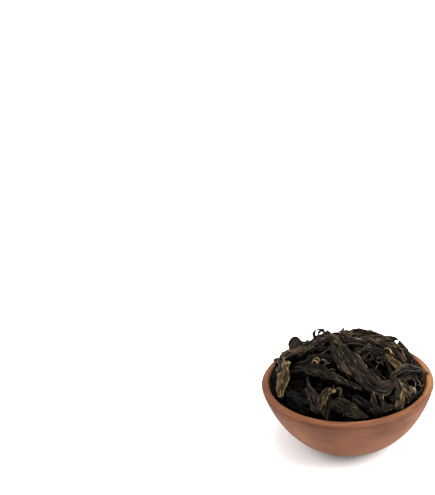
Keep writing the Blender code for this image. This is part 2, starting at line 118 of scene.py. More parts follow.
# The named fronds: name, width, tone, from 0 (near black) to 1 (golden), hue, from 0 (purple brown) to 1
# (olive), form, how many thin edges stand off it and their tone, and the points passed through: the place on
# the plan and the height above the heap.
NAMED_FRONDS = (
    ("middle_blade", 12.5, 0.21, 0.2, "broad", 5, 0.30, ((-2.5, -1, 2), (0, -12.5, 4), (4.5, -21.5, 4.5),
        (9, -29, 4.5), (14.5, -33.5, 4), (20.5, -36.5, 3.5), (25.5, -35, 3), (30.5, -28.5, 1))),
    ("top_bundle", 9.0, 0.31, 0.9, "pleated", 9, 0.50, ((2, 12, 3), (10, 15, 3.5), (19, 14, 3.5),
        (28, 11, 3.5), (37, 7, 3), (43, 0, 1))),
    ("right_drape", 3.5, 0.04, 0.5, "bundle", 0, 0.0, ((37, 20, 3), (41, 10, 4.5), (43, 4, 4.5), (45, -1, 3),
        (46, -5, 1), (47, -10, -1))),
    ("inner_drape", 3.0, 0.36, 0.3, "bundle", 0, 0.0, ((29.5, 6.5, 3), (34.5, -0.5, 4), (38, -7, 4),
        (40.5, -9, 2), (42, -9.5, 0))),
    ("golden_patch", 8.5, 0.48, 1.0, "pleated", 8, 0.62, ((26, -7.5, 1), (30.5, -13, 4), (34, -15, 4.5),
        (39, -14.5, 2))),
    ("right_arch", 3.2, 0.24, 0.6, "bundle", 0, 0.0, ((29.5, -29, -1), (30.5, -28.5, 4), (33, -26, 6.5),
        (38, -20.5, 7), (44, -13.5, 6), (50, -6.5, 4.5), (54, 1, 2.5), (57, 2, 1.5))),
    ("arch_tassel", 5.0, 0.20, 0.8, "pleated", 6, 0.50, ((35, -25, 1), (36, -31, 3), (35, -36, 3),
        (33, -39, 1.5), (32, -42, -1))),
    ("front_right_a", 3.5, 0.16, 0.3, "leaf", 4, 0.40, ((16, -37, 0), (17, -42, 2), (19, -46, 1.5),
        (23, -47, -1))),
    ("front_right_b", 4.0, 0.14, 0.3, "leaf", 3, 0.35, ((21, -37, 1), (23, -42, 2.5), (24, -47, 0))),
    ("front_leaf", 10.0, 0.17, 0.8, "broad", 3, 0.30, ((13.5, -51, 0), (7, -50.5, 2), (1.5, -49, 3),
        (-4.5, -47, 3), (-11.5, -44, 1))),
    ("front_purple", 7.0, 0.16, 0.0, "leaf", 6, 0.42, ((-27, -30, 1), (-24, -37, 3), (-22, -42, 3),
        (-20, -46, 0))),
    ("front_gold", 5.0, 0.32, 0.6, "bundle", 0, 0.0, ((-19, -46, 0), (-17, -43, 2.5), (-14, -40, 3.5),
        (-10, -37, 2))),
    ("diagonal_blade", 4.5, 0.10, 0.5, "leaf", 3, 0.42, ((-20, -21, 1), (-12.5, -28.5, 3), (-6, -33, 3.5),
        (0, -36, 3.5), (6, -38, 2.5), (10.5, -38, 0))),
    ("left_golden", 8.5, 0.54, 1.0, "fan", 14, 0.64, ((-44.5, 16.5, 2), (-42.5, -3.5, 4), (-42.5, -13, 5),
        (-44.5, -18, 5), (-46, -21, 4), (-47, -23, 2))),
    ("left_shoulder", 6.0, 0.36, 0.9, "pleated", 10, 0.60, ((-27, 10, 2), (-35, 10, 4.5), (-43, 16, 4.5),
        (-50, 24, 2.5), (-52.5, 27, 1))),
    ("knob_leaf", 13.0, 0.26, 0.1, "lobe", 3, 0.40, ((-34.5, 2.5, 0), (-35, 9, 2), (-36, 12, 6),
        (-37, 15, 8.5), (-37.5, 17, 10.5))),
    ("ridge_blade", 5.0, 0.22, 0.0, "blade", 7, 0.45, ((-9, 13, 2), (-17, 8, 4), (-22, 4, 4), (-27, 1, 3.5),
        (-32, 2, 2.5), (-38, 7, 1))),
    ("top_loop", 2.2, 0.22, 0.8, "strand", 0, 0.0, ((-20, 14.5, 0), (-21.5, 12.5, 5), (-22, 13.5, 8.5),
        (-20, 14, 10.2), (-17, 14, 9.8), (-14, 14, 7.5))),
    ("centre_fold", 6.0, 0.14, 0.7, "broad", 0, 0.40, ((-10, 5, 3), (-8.5, -6, 4), (-7, -15, 4), (-3, -24, 4),
        (1, -28, 3), (6, -31, 1))),
    ("upper_left_blade", 6.0, -0.02, 0.6, "leaf", 2, 0.16, ((-35, -5, 0), (-24, -11, 2.5), (-13, -14, 2),
        (-3, -17, 0))),
    ("lower_left_blade", 5.0, 0.08, 0.8, "leaf", 3, 0.30, ((-41, -8, -1), (-31, -16, 2.5), (-19, -21, 2.5),
        (-9, -25, -1))),
    ("ridged_leaf", 8.0, 0.06, 0.4, "leaf", 3, 0.20, ((6, -3, 0), (16, -8, 3), (25, -13, 2.5),
        (31, -21, -1))),
    ("left_tip", 2.0, 0.30, 0.6, "strand", 0, 0.0, ((-11, 9, -1), (-12, 12, 5), (-13, 14, 9.5))),
    ("crown_tip", 2.0, 0.35, 0.6, "strand", 0, 0.0, ((-3.5, 10, -1), (-3, 13, 4), (-0.5, 15, 8))),
    ("left_front_leaf", 6.0, -0.08, 0.6, "leaf", 0, 0.20, ((-43, -22, -1), (-37, -29, 1.5), (-32, -36, 1),
        (-29, -42, -2))),
    ("right_low_leaf", 5.5, 0.06, 0.6, "leaf", 3, 0.25, ((37, -22, 0), (41, -27, 1.5), (41, -34, -1))),
    ("crown_leaf", 7.0, 0.20, 0.2, "leaf", 5, 0.40, ((2, 4, 1), (13, 4, 3.5), (24, 1, 3), (33, -4, 0))),
    ("crown_left_leaf", 6.0, 0.02, 0.4, "leaf", 2, 0.20, ((-12, -2, 0), (-21, 0, 3), (-31, 3, 0))),
    ("crown_olive", 6.0, 0.38, 1.0, "leaf", 7, 0.50, ((14, 3, 2), (20, 3, 4), (26, 4, 4), (32, 5, 4),
        (37, 7, 2))),
    ("crown_purple", 5.0, 0.24, 0.0, "bundle", 0, 0.0, ((-1, 6, 3), (5, 1, 4), (11, -1, 4), (18, -2, 2))),
    ("rising_leaf", 4.5, 0.10, 0.6, "leaf", 4, 0.34, ((3, -13, 0), (8, -10, 2), (14, -6, 2), (20, 0, 0))),
    ("golden_lump", 6.0, 0.58, 0.9, "crumpled", 4, 0.66, ((25.5, -3.5, 2), (28.5, -6, 4.5), (32.5, -8, 3.5))),
    ("tassel_fan", 4.0, 0.16, 0.6, "pleated", 3, 0.50, ((37, -26, 1), (39, -30, 3), (40, -33, 2.5),
        (40, -36, 0))),
    ("blade_lobe", 6.0, 0.32, 0.4, "lobe", 4, 0.44, ((-6, -17.5, 3), (-3, -24, 4.5), (1, -28, 4),
        (4, -30, 2))),
    ("left_lump", 4.5, 0.10, 0.7, "leaf", 3, 0.28, ((-34, -11, 0), (-28, -19, 3), (-22, -24, 3),
        (-17, -27, 2), (-12, -30, 0))),
    ("left_wall_leaf", 8.0, -0.18, 0.6, "leaf", 0, 0.1, ((-49, 24, 0), (-51, 12, 1.5), (-51, -2, 1.5),
        (-48.5, -15, 1.5), (-43, -27, 0))),
    ("right_wall_leaf", 6.0, -0.20, 0.5, "leaf", 2, 0.2, ((50, -6, 0), (49.5, -17, 1), (44, -28, 1),
        (35, -38, 0))),
)

WALL_SHADED_FRONDS = ("left_wall_leaf", "right_wall_leaf")  # darkened toward black as painted shade of the bowl's wall

# Small pieces among the named ones: width, tone, hue, form, and the points passed through.
SMALL_FRONDS = (
    (4.5, 0.36, 1.0, "leaf", ((-19.5, 13.5, 9.5), (-16, 14, 7.5), (-10.5, 14, 4), (-4.5, 9.5, 2))),
    (5.0, 0.38, 0.5, "pleated", ((-27.5, 8, 3), (-32.5, 5, 4), (-38.5, 6, 4), (-44, 11, 3))),
    (5.5, 0.22, 0.8, "lobe", ((-19, 13.5, 9), (-17, 14, 7.5), (-13, 13, 4.5), (-8, 12, 1.5))),
    (2.0, 0.16, 0.4, "strand", ((-31, 13, 3), (-26.5, 13, 3), (-22, 13, 3.5), (-18, 13.5, 5))),
    (1.8, 0.10, 0.5, "strand", ((-10.5, 13, 4.5), (-7, 14, 4), (-3.5, 14, 3), (2, 13, 1.5))),
    (5.0, 0.34, 1.0, "leaf", ((-14, 14, 3), (-9.5, 7, 4), (-5, -1, 4), (-2, -6, 1))),
    (1.0, 0.30, 0.6, "strand", ((0.5, 9, 3), (1, 13, 5))),
    (2.2, 0.24, 0.5, "strand", ((-17, 13, 5.5), (-12.8, 13.8, 6.8), (-9.5, 13.5, 5))),
    (1.3, 0.50, 0.9, "strand", ((4, 8, 3), (4, 13, 4.5), (6, 14, 6.5), (10, 14, 7))),
    (2.2, 0.20, 0.7, "strand", ((4.5, 13, 4), (8.5, 14, 6.5), (15, 14, 6), (23.5, 13, 5), (31.5, 11, 4),
                                (38, 8, 4))),
    (1.2, 0.40, 0.7, "strand", ((-0.5, -2.5, 3), (4.5, -3, 4), (10, -4, 4), (15, -6, 4), (21.5, -4, 2))),
    (3.0, 0.20, 0.3, "leaf", ((3.5, -13.5, 0), (8, -12, 3), (14, -6, 3), (19.5, 2.5, 1))),
    (2.6, 0.16, 0.5, "leaf", ((7, -17.5, 0), (12, -15.5, 3), (17, -9.5, 3), (22, 0, 1))),
    (2.4, 0.12, 0.4, "leaf", ((13.5, -17.5, 0), (17, -16, 2.5), (21, -8, 1))),
    (4.0, 0.10, 0.6, "leaf", ((9.5, -14.5, 0), (14, -11.5, 2), (19, -7, 1))),
    (1.2, 0.62, 1.0, "strand", ((24.5, -6, 2), (25.5, -13, 3.5), (30, -16.5, 4), (34, -17, 4), (37, -16, 1))),
    (1.6, 0.50, 0.4, "strand", ((38, 10, 2.5), (39.5, 0, 3.5), (41, -6.5, 2))),
    (2.0, 0.44, 0.3, "strand", ((35, 0, 3), (38, -8, 4.5), (41, -13, 1))),
    (9.0, 0.12, 0.7, "broad", ((34.5, -23, -3), (39.5, -16.5, 0), (45, -11, 0), (50, -7, -3))),
    (1.0, 0.62, 0.6, "strand", ((37.5, -31, 1), (39, -31, 3), (40.5, -32, 3), (42, -31, 1))),
    (2.2, 0.52, 0.2, "crumpled", ((33.5, -37, 2), (32.5, -40, 3), (32.5, -42, 1))),
    (1.0, 0.74, 0.3, "strand", ((-22.5, -12, 1), (-21, -15, 3.5), (-19.5, -18, 3.5), (-20.5, -17, 1))),
    (1.2, 0.50, 0.5, "strand", ((-18.5, -15, 1), (-16.5, -16, 3.5), (-14, -18, 3.5), (-12.5, -18, 1))),
    (1.6, 0.44, 0.0, "strand", ((-17, -18, 0), (-13.5, -19.5, 3), (-10.5, -17, 0))),
    (1.2, 0.52, 0.8, "strand", ((-24, -16, 1), (-22, -12.5, 3), (-19, -14, 3.5), (-18, -17, 1.5))),
    (2.0, 0.36, 0.8, "strand", ((-25, -11, 0), (-22, -17, 2.5), (-18.5, -20, 2.5), (-15, -18, 0))),
    (0.9, 0.62, 0.4, "strand", ((-35.5, -11, 1), (-33, -14, 2.5), (-30.5, -15, 1))),
    (5.0, 0.06, 0.7, "leaf", ((-32, -6, -1), (-26, -10, 2), (-19, -11, 0))),
    (1.0, 0.42, 0.7, "strand", ((-12, -25.5, 2), (-9.5, -26.5, 4), (-7, -27, 3))),
    (2.2, 0.20, 0.5, "strand", ((-26.5, -21.5, 0), (-26, -28, 2), (-24.5, -33.5, 2))),
    (3.6, 0.62, 0.8, "lobe", ((-11, -39, 2), (-9, -40, 4), (-7, -39.5, 3))),
    (2.2, 0.36, 1.0, "strand", ((-8, -38, 2), (-6, -39, 4), (-4.5, -40.5, 4), (-5, -42, 1.5))),
    (7.0, 0.24, 0.8, "bundle", ((35, -25, 1), (36, -31.5, 4), (35, -36.5, 4), (33, -40, 2.5), (32, -41, -1))),
    (5.0, 0.32, 0.4, "bundle", ((38, -24.5, 1), (40, -29.5, 4), (40.5, -32.5, 3.5), (40, -34.5, 1))),
    (1.3, 0.58, 0.9, "strand", ((33.5, -28, 3), (36, -30, 5.5), (39, -33, 5.5), (41, -37, 3))),
    (1.4, 0.24, 0.5, "strand", ((40, -28, 3), (37.5, -31, 5.5), (35, -34, 5.5), (32, -37, 3))),
    (1.6, 0.16, 0.4, "leaf", ((33, -30, 3), (37, -33, 5.5), (41, -34, 5), (43, -32, 2))),
    (1.2, 0.60, 0.9, "strand", ((36, -26, 3), (35, -29, 5.5), (37, -33, 6), (35.5, -37, 5), (36, -40, 2))),
    (1.6, 0.58, 0.1, "strand", ((40, -27.5, 2), (42.5, -27, 4), (43.5, -28, 4), (42.5, -30, 2))),
    (1.4, 0.60, 0.1, "strand", ((42, -27.5, 2), (44.5, -26, 4), (45.5, -26.5, 4), (45.5, -28, 1.5))),
    (1.3, 0.50, 0.3, "strand", ((39, -30, 2), (41, -31, 4), (41.5, -32, 3), (43, -30, 1))),
    (1.3, 0.50, 0.3, "strand", ((46.5, -13, 1), (48, -16.5, 3), (49.5, -17.5, 3.5), (51, -16, 2))),
    (1.1, 0.54, 0.3, "strand", ((47.5, -19, 2), (49.5, -19, 3.5), (52, -14.5, 2))),
    (0.9, 0.46, 0.3, "strand", ((19.5, -9.5, 1), (21, -15.5, 3), (23, -14, 3), (25, -16.5, 2))),
    (0.9, 0.42, 0.3, "strand", ((19.5, -14.5, 1), (21.5, -19, 3), (23.5, -17.5, 3), (25, -19.5, 2))),
    (1.0, 0.30, 0.3, "strand", ((16.5, -21.5, 0), (19, -25, 2), (21.5, -24, 2), (23.5, -24, 0))),
    (4.0, 0.16, 0.4, "crumpled", ((-46, 19, 2), (-50, 24, 2), (-52, 27, 1.5))),
    (6.5, 0.22, 0.3, "lobe", ((-33.5, 8, 1), (-34, 12, 4), (-34.4, 15, 7), (-35.4, 16, 9), (-37.4, 15.5, 9.2),
                              (-39.6, 14, 7.4))),
    (2.6, 0.12, 0.6, "leaf", ((27, 18, 2), (31, 19, 4), (36, 20.5, 4.7), (41, 20, 3.2), (43.5, 17, 1))),
    (4.5, 0.14, 0.0, "leaf", ((-33, 2, 3), (-37, 1.5, 5), (-41, 2.5, 5.5), (-45.5, 5, 5), (-48.5, 8, 3))),
    (2.6, 0.26, 0.0, "leaf", ((-45, 8, 5), (-46, 2, 5.5), (-47, -4, 5.5), (-48, -10, 5), (-48, -15, 3))),
    (5.5, 0.02, 0.8, "leaf", ((12, -47, -2), (20, -45.5, 0), (28, -42, 0), (35, -37, -2))),
    (5.0, 0.05, 0.7, "leaf", ((26, -38, -1), (32, -36, 1), (38, -32, 1), (43, -24, -1))),
    (5.0, 0.02, 0.7, "leaf", ((2, -40, -2), (8, -43, 0), (14, -45, 0), (19, -48, -2))),
    (4.5, 0.04, 0.6, "leaf", ((-33, -33, -2), (-27, -38, 0), (-20, -43, 0), (-14, -49, -2))),
    (4.0, 0.06, 0.9, "leaf", ((-14, -34, -1), (-12, -40, 1), (-13, -45, 0), (-15, -50, -2))),
    (2.8, 0.22, 0.7, "leaf", ((-12.5, 14, 4), (-15.5, 14, 7.5), (-18, 14, 7.5), (-20, 13.5, 4))),
)

# A form: the distance between pleats, how steeply they fold, the same for the broad folds, how much the strip
# bows, curls at its edges, twists, frills, frays and crumples, how wide its ends are, how torn they are, the
# fewest columns of points, how much painted highlight lightens its crests and painted shade darkens its
# hollows, and how much it widens along its length.
# PLAIN is what a form has where it says nothing else.
PLAIN = dict(columns=7, taper=0.0)
FORMS = {
    "broad": dict(pleat=2.2, fold=36, broad=7.5, gather=22, bow=35, curl=40, twist=8, frill=0.25, fray=0.14,
                  crumple=0.5, end=0.25, torn=1.5, crest_light_and_shade=0.4, taper=0.6),
    "lobe": dict(pleat=2.6, fold=30, broad=8.0, gather=14, bow=32, curl=30, twist=6, frill=0.3, fray=0.10,
                 crumple=0.7, end=0.25, torn=0.4, columns=9, crest_light_and_shade=0.4),
    "blade": dict(pleat=2.2, fold=40, broad=6.0, gather=26, bow=40, curl=55, twist=12, frill=0.35, fray=0.20,
                  crumple=0.55, end=0.25, torn=2.0, crest_light_and_shade=0.5),
    "leaf": dict(pleat=2.0, fold=44, broad=4.6, gather=38, bow=55, curl=75, twist=30, frill=0.8, fray=0.34,
                 crumple=0.8, end=0.25, torn=3.0, crest_light_and_shade=0.45),
    "crumpled": dict(pleat=1.9, fold=48, broad=4.0, gather=55, bow=45, curl=70, twist=40, frill=1.0,
                     fray=0.45, crumple=1.4, end=0.45, torn=3.5, crest_light_and_shade=0.45),
    "pleated": dict(pleat=1.25, fold=60, broad=7.0, gather=30, bow=60, curl=50, twist=18, frill=0.5,
                    fray=0.30, crumple=0.7, end=0.30, torn=3.0, crest_light_and_shade=0.65),
    "fan": dict(pleat=1.25, fold=60, broad=7.0, gather=30, bow=60, curl=50, twist=18, frill=0.5, fray=0.18,
                crumple=0.7, end=0.12, torn=0.8, crest_light_and_shade=0.62, taper=1.1),
    "strand": dict(pleat=0.9, fold=50, broad=9.0, gather=0, bow=60, curl=50, twist=60, frill=0.2, fray=0.40,
                   crumple=0.4, end=0.20, torn=0.6, crest_light_and_shade=0.45),
    "edge": dict(pleat=0.9, fold=30, broad=9.0, gather=0, bow=50, curl=0, twist=60, frill=0.0, fray=0.40,
                 crumple=0.2, end=0.15, torn=0.0, columns=5, crest_light_and_shade=0.5),
}

# How a strip is laid
ROW_STEP = 0.6
CURVE_POINTS, FEWEST_STOPS = 200, 8
PLEAT_COLUMNS = 7
FEWEST_PLEATS = 1.5
PLEATED_SLACK = 1.2
LEAF_THICKNESS = 0.35
CREST_SHARPNESS = 1.3  # nearer 1 is sharper
LYING_FLAT = 0.15  # how strongly a strip turns its face to the outside of the heap
FACE_OUT = 0.9  # how far the heap's outside leans
END_INSET, SWELL_POWER = 0.06, 0.55
TAPER_MIDDLE = 0.6
WIDENING = (0.8, 1.8)  # the least and the most that a folded strip is pulled out to its width
LEAST_SPAN = 0.2
FULL_SIZE = 6.0  # a strip this wide crumples in full, and a narrower one less
LEAN_FOLDS = 3.0
# How far off the neighbours are that a crest is measured against, and how strongly crests get painted
# highlight and hollows painted shade
CREST_SPAN, CREST_CONTRAST = 3, 0.9
CURL_SHARPNESS, FRILL_SHARPNESS, EDGE_HIGHLIGHT_SHARPNESS, END_SHARPNESS = 6, 3, 8, 12
# How strongly a painted highlight lightens a strip's edges, and how much paler its ends are
EDGE_HIGHLIGHT, END_PALENESS = 0.45, 0.5
UNROLLED = 20.0  # millimetres to one unit of the unrolled map

# How a strip wavers: a level and the waves added to it. Each has its height, its length in each direction,
# and where it starts in the noise, far enough from the others to be unlike them.
WAVES = {
    "turn": (0, ((1.6, 16, 1, 0.5, 40.5),)),
    "torn": (0, ((1, 4.5, 1, 0, 3.3), (0.6, 1.7, 1, 0, 8.1))),
    "wander": (0, ((0.6, 5, 16, 7, 0), (0.2, 2, 8, 0, 30))),
    "steep": (0.85, ((0.7, 3, 7, 60, 0),)),
    "broad": (0, ((0.8, 1, 14, 11, 0),)),
    "lean": (0, ((18, 1, 5, 20, 0),)),
    "bow": (0.75, ((0.8, 11, 1, 0, 77.7),)),
    "curl": (0.6, ((1, 8, 1, 0, 88.8),)),
    "crumple": (0, ((0.55, 6, 8, 0, 70), (0.30, 2.4, 4, 9, 20), (0.18, 1.1, 2.2, 5, 50))),
    "frill": (0, ((1, 1.8, 1, 0, 0),)),
    "drift": (0, ((1.3, 10, 1, 0, 2.2),)),
    "sway": (0, ((0.8, 8, 1, 0, 55.5),)),
    "first teeth": (0, ((1, 1.1, 1, 13, 0.5),)),
    "last teeth": (0, ((1, 1.1, 1, 43, 0.5),)),
    "patches": (0, ((0.20, 7, 5, 3, 1), (0.10, 2, 2, 0, 8))),
    "edge_highlight": (0.5, ((1, 3, 1, 0, 0),)),
}
EDGES_APART = {"torn": 9.0, "frill": 5.5, "edge_highlight": 6.6}  # how far an edge is from the middle in the noise

# A loose edge over a strip. Most values are drawn between two. START and RUN are shares of the strip's
# length, and SIDE, DRIFT and WOBBLE are shares of its width.
EDGE_START, EDGE_RUN = (0.0, 0.6), (0.3, 0.8)
EDGE_SIDE, EDGE_DRIFT = (0.02, 0.98), (-0.35, 0.35)
EDGE_WOBBLE, WOBBLE_TURNS, WOBBLE_PHASES = 0.06, (4, 12), (0, 6)
EDGE_LIFT, EDGE_ARCH = 0.25, (0.0, 1.0)
EDGE_WIDTHS, EDGE_TONES = (0.5, 1.1), (-0.30, 0.05)
EDGE_DETAIL, FEWEST_ROWS = 0.5, 8

# A bundle of strands along one route
STRAND_SPACING, FEWEST_STRANDS = 0.9, 3
BUNDLE_SPAN, BUNDLE_ROUND = 0.42, 0.05
STRAND_STARTS, STRAND_ENDS = (0, 0.15), (0.7, 1.0)
STRAND_STRAY = (0.3, 0.12)  # by itself, and for each millimetre of the bundle's width
STRAND_TONES, STRAND_HUES, STRAND_WIDTHS = (-0.22, 0.2), (-0.3, 0.3), (0.28, 0.5)

# Seeds for the named fronds, the small ones and the loose edges
NAMED_SEED, SMALL_SEED, EDGE_SEED, SEEDS = 100, 200, 400, 10**6

# Colours, from dark to bright
PURPLE_BROWN = (
    (0.00, (0.0016, 0.0013, 0.0011)),
    (0.20, (0.0047, 0.0035, 0.0029)),
    (0.42, (0.0180, 0.0131, 0.0104)),
    (0.62, (0.0521, 0.0344, 0.0235)),
    (0.82, (0.1386, 0.0941, 0.0630)),
    (1.00, (0.2856, 0.2184, 0.1512)),
)
OLIVE = (
    (0.00, (0.0014, 0.0014, 0.0009)),
    (0.20, (0.0042, 0.0038, 0.0022)),
    (0.42, (0.0195, 0.0140, 0.0066)),
    (0.62, (0.0554, 0.0370, 0.0147)),
    (0.82, (0.1344, 0.0907, 0.0403)),
    (1.00, (0.2604, 0.1932, 0.1050)),
)
# The core's colours: the wakame's own dark, darkened further as painted shade of the heap's depths
CORE_DARK_AND_SHADE = ((0.35, (0.001, 0.0009, 0.0007)), (0.7, (0.004, 0.0036, 0.0028)))
WALL_WOOD = (
    (0.36, (0.0744, 0.0225, 0.0083)),
    (0.48, (0.1144, 0.0389, 0.0154)),
    (0.58, (0.1488, 0.0574, 0.0246)),
    (0.72, (0.1934, 0.0845, 0.0397)),
)
# The lip's wood, paler and more orange than the wall's: partly its own colour, partly painted light on the
# lip's top
LIP_WOOD_AND_LIGHT = (
    (0.30, (0.0740, 0.0199, 0.0052)),
    (0.45, (0.1075, 0.0341, 0.0097)),
    (0.58, (0.1591, 0.0597, 0.0170)),
    (0.74, (0.2666, 0.1172, 0.0369)),
)
BLACK = (0.0, 0.0, 0.0, 1.0)

# How rough each surface is, and how much it shines
WAKAME_FINISH, DEEP_FINISH, CORE_FINISH = (0.45, 0.035), (0.5, 0.015), (0.8, 0.01)
WOOD_FINISH, FLOOR_FINISH = (0.8, 0.3), (0.9, 0.0)
DEEP_SHADE = 0.80  # painted shade: how far the fronds deep in the heap and by the wall are darkened toward black

# Wakame: the grain along a frond and the blotches over it, as scales and as shares of the tone
GRAIN_SCALE, GRAIN_SHARE = (6.0, 60.0, 1.0), 0.4
BLOTCH_SCALE, BLOTCH_SHARE = 160.0, 0.5
GRAIN_BUMP, GRAIN_DEPTH = 0.5, 0.25
CORE_BLOTCH_SCALE = 250.0

# Wood: streaks and fibres round the bowl, patches over it, and how much each adds
STREAK_SCALE, STREAK_SHARE = (0.05, 0.05, 1.1), 0.20
FIBRE_SCALE, FIBRE_SHARE = (0.25, 0.25, 6.0), 0.12
PATCH_SCALE, PATCH_SHARE, PATCH_LEVEL = 38.0, 0.48, 0.10
WALL_SHADE_TO_BOUNCE_LIGHT = ((6.0, 45.0), (-0.12, 0.11))  # over this distance from the lip, the tone shifts by so much: painted shade under the lip, painted floor-bounce light lower down
# The lip paler toward its right side: painted light from the right
LIP_PAINTED_LIGHT_RIGHT = ((RIM_RADIUS * 0.8, RIM_RADIUS), (-0.09, 0.13))
LIP_END = (LIP_WIDTH - 0.2, LIP_WIDTH + 0.6)  # where the wall's wood takes over
HOLLOW_LIGHT_START = 105.0  # where the lip's paler wood comes back on the hollow as painted light, this far along the profile
FIBRE_BUMP, FIBRE_DEPTH = 0.15, 0.1

# The camera, in metres and in the photograph's pixels: the rim's middle is low and right in the picture.
CAMERA_ELEVATION = 30.76
CAMERA_DISTANCE = 0.8
CAMERA_ROLL = 0.0273
FOCAL_PIXELS = 1125.0
PHOTO_WIDTH, PHOTO_HEIGHT = 435, 495
RIM_PIXEL = (346.8, 378.2)

# The studio, in metres and watts: each light's name, place, what it aims at, and power
FLOOR_HALF = 4.0
FLOOR_COLOUR = (0.92, 0.92, 0.92, 1)
SKY_STRENGTH = 1.25
LIGHT_SIZE = 0.8
LIGHTS = (
    ("top_light", (0.1, 0.0, 1.2), (0, 0, 0.04), 14.0),
    ("left_light", (-1.1, 0.1, 0.8), (0, 0, 0.03), 7.0),
    ("right_light", (1.1, -0.2, 0.8), (0, 0, 0.03), 24.0),
)


# ---- shapes


class Noise:
    """Smooth gradient noise over a plane, from about -1 to 1."""

    def __init__(self, seed):
        draw = np.random.default_rng(seed)
        self.order = draw.permutation(256)
        angle = draw.uniform(0, 2 * np.pi, 256)
        self.slopes = np.stack((np.cos(angle), np.sin(angle)), -1)

    def __call__(self, x, y):
        x, y = np.broadcast_arrays(np.asarray(x, float), np.asarray(y, float))
        cell_x, cell_y = np.floor(x).astype(int), np.floor(y).astype(int)
        in_x, in_y = x - cell_x, y - cell_y

        def corner(step_x, step_y):
            pick = self.order[(self.order[(cell_x + step_x) % 256] + cell_y + step_y) % 256]
            slope = self.slopes[pick]
            return slope[..., 0] * (in_x - step_x) + slope[..., 1] * (in_y - step_y)

        ease_x = in_x**3 * (in_x * (in_x * 6 - 15) + 10)
        ease_y = in_y**3 * (in_y * (in_y * 6 - 15) + 10)
        low = corner(0, 0) * (1 - ease_x) + corner(1, 0) * ease_x
        high = corner(0, 1) * (1 - ease_x) + corner(1, 1) * ease_x
        return 1.5 * (low * (1 - ease_y) + high * ease_y)


def unit(vectors):
    return vectors / np.maximum(np.linalg.norm(vectors, axis=-1, keepdims=True), 1e-9)


def ease(share):
    share = np.clip(share, 0, 1)
    return share * share * (3 - 2 * share)


def outer_radius(height):
    """The radius of the bowl's outside, from its foot up to the lip."""
    across, up = WALL_FULLNESS
    below_lip = 1 - np.asarray(height) / (BOWL_HEIGHT - LIP_DROP)
    return FOOT_RADIUS + (RIM_RADIUS - FOOT_RADIUS) * (1 - below_lip**across) ** (1 / up)


def hollow_radius(height):
    """The radius of the bowl's hollow, which is nought at its floor."""
    across, up = HOLLOW_FULLNESS
    below_rim = (BOWL_HEIGHT - np.asarray(height)) / (BOWL_HEIGHT - FLOOR_HEIGHT)
    return MOUTH_RADIUS * (1 - np.clip(below_rim, 0, 1) ** across) ** (1 / up)


def heap_height(x, y):
    """The height of the heap's smooth surface over a point of the bowl's plan."""
    across, up = HEAP_FULLNESS
    from_centre = np.hypot(np.asarray(x) - HEAP_CENTRE[0], np.asarray(y) - HEAP_CENTRE[1])
    out = from_centre / (MOUTH_RADIUS + HEAP_EDGE_OUT)
    return BOWL_HEIGHT - HEAP_EDGE_DEPTH + HEAP_RISE * (1 - np.minimum(out, 1.0) ** across) ** up


def lying_height(x, y):
    """What a frond lies on: the heap, then the lip."""
    share = ease((np.hypot(x, y) - (MOUTH_RADIUS - OVER_LIP)) / OVER_LIP)
    return heap_height(x, y) * (1 - share) + BOWL_HEIGHT * share


def reach_along(line):
    """How far each point of a line is from its start."""
    return np.concatenate(([0.0], np.cumsum(np.linalg.norm(np.diff(line, axis=0), axis=1))))


def smooth_route(route, step):
    """(points, distance along) at even steps on a smooth curve through the route's points."""
    knots = np.array(route, float)
    knots = np.vstack((2 * knots[0] - knots[1], knots, 2 * knots[-1] - knots[-2]))
    along = np.linspace(0, len(knots) - 3, CURVE_POINTS)
    first = np.minimum(along.astype(int), len(knots) - 4)
    part = (along - first)[:, None]
    a, b, c, d = knots[first], knots[first + 1], knots[first + 2], knots[first + 3]
    curve = b + 0.5 * part * ((c - a) + part * ((2 * a - 5 * b + 4 * c - d) + part * (3 * b - a - 3 * c + d)))
    line = np.column_stack((curve[:, :2], lying_height(curve[:, 0], curve[:, 1]) + curve[:, 2]))
    reach = reach_along(line)
    stops = np.linspace(0, reach[-1], max(FEWEST_STOPS, round(reach[-1] / step) + 1))
    return np.column_stack([np.interp(stops, reach, line[:, axis]) for axis in range(3)]), stops


def clear_of_bowl(points, middle_out):
    """Moves points up off the lip, or in from the wall, where the wood is in their way."""
    x, y, z = points[..., 0], points[..., 1], points[..., 2]
    out = np.hypot(x, y)
    over = (middle_out > MOUTH_RADIUS - OVER_LIP) & (out > MOUTH_RADIUS - OVER_LIP)
    z = np.where(over, np.maximum(z, BOWL_HEIGHT + CLEARANCE), z)
    most = hollow_radius(np.minimum(z, BOWL_HEIGHT) - WALL_BELOW) - CLEARANCE
    pull = np.where(~over & (out > most), most / np.maximum(out, 1e-6), 1.0)
    return np.stack((x * pull, y * pull, z), -1)


def folded(phase):
    """The slope across a pleat, from -1 to 1: a sharp crest and a round valley."""
    return -np.arctan2(np.sin(phase), CREST_SHARPNESS - np.cos(phase)) / math.asin(1 / CREST_SHARPNESS)


def waver(rough, name, x, y=0.0):
    """One of the ways in which a strip wavers, at a place on it."""
    level, waves = WAVES[name]
    for height, length_x, length_y, start_x, start_y in waves:
        level = level + height * rough(x / length_x + start_x, y / length_y + start_y)
    return level


def faces_along(line):
    """Which way is up and aside at each point of a line that lies on the heap or curls off it."""
    ahead = unit(np.gradient(line, axis=0))
    outward = np.column_stack((line[:, 0] * FACE_OUT, line[:, 1] * FACE_OUT, np.full(len(line), BOWL_HEIGHT)))
    outward = unit(outward)
    up = np.empty_like(line)
    last = outward[0]
    for row, (forward, out) in enumerate(zip(ahead, outward)):
        lying = 1 - np.dot(forward, out) ** 2
        wanted = last + LYING_FLAT * lying * out
        wanted = wanted - forward * np.dot(wanted, forward)
        last = up[row] = wanted / max(np.linalg.norm(wanted), 1e-9)
    return up, np.cross(ahead, up)


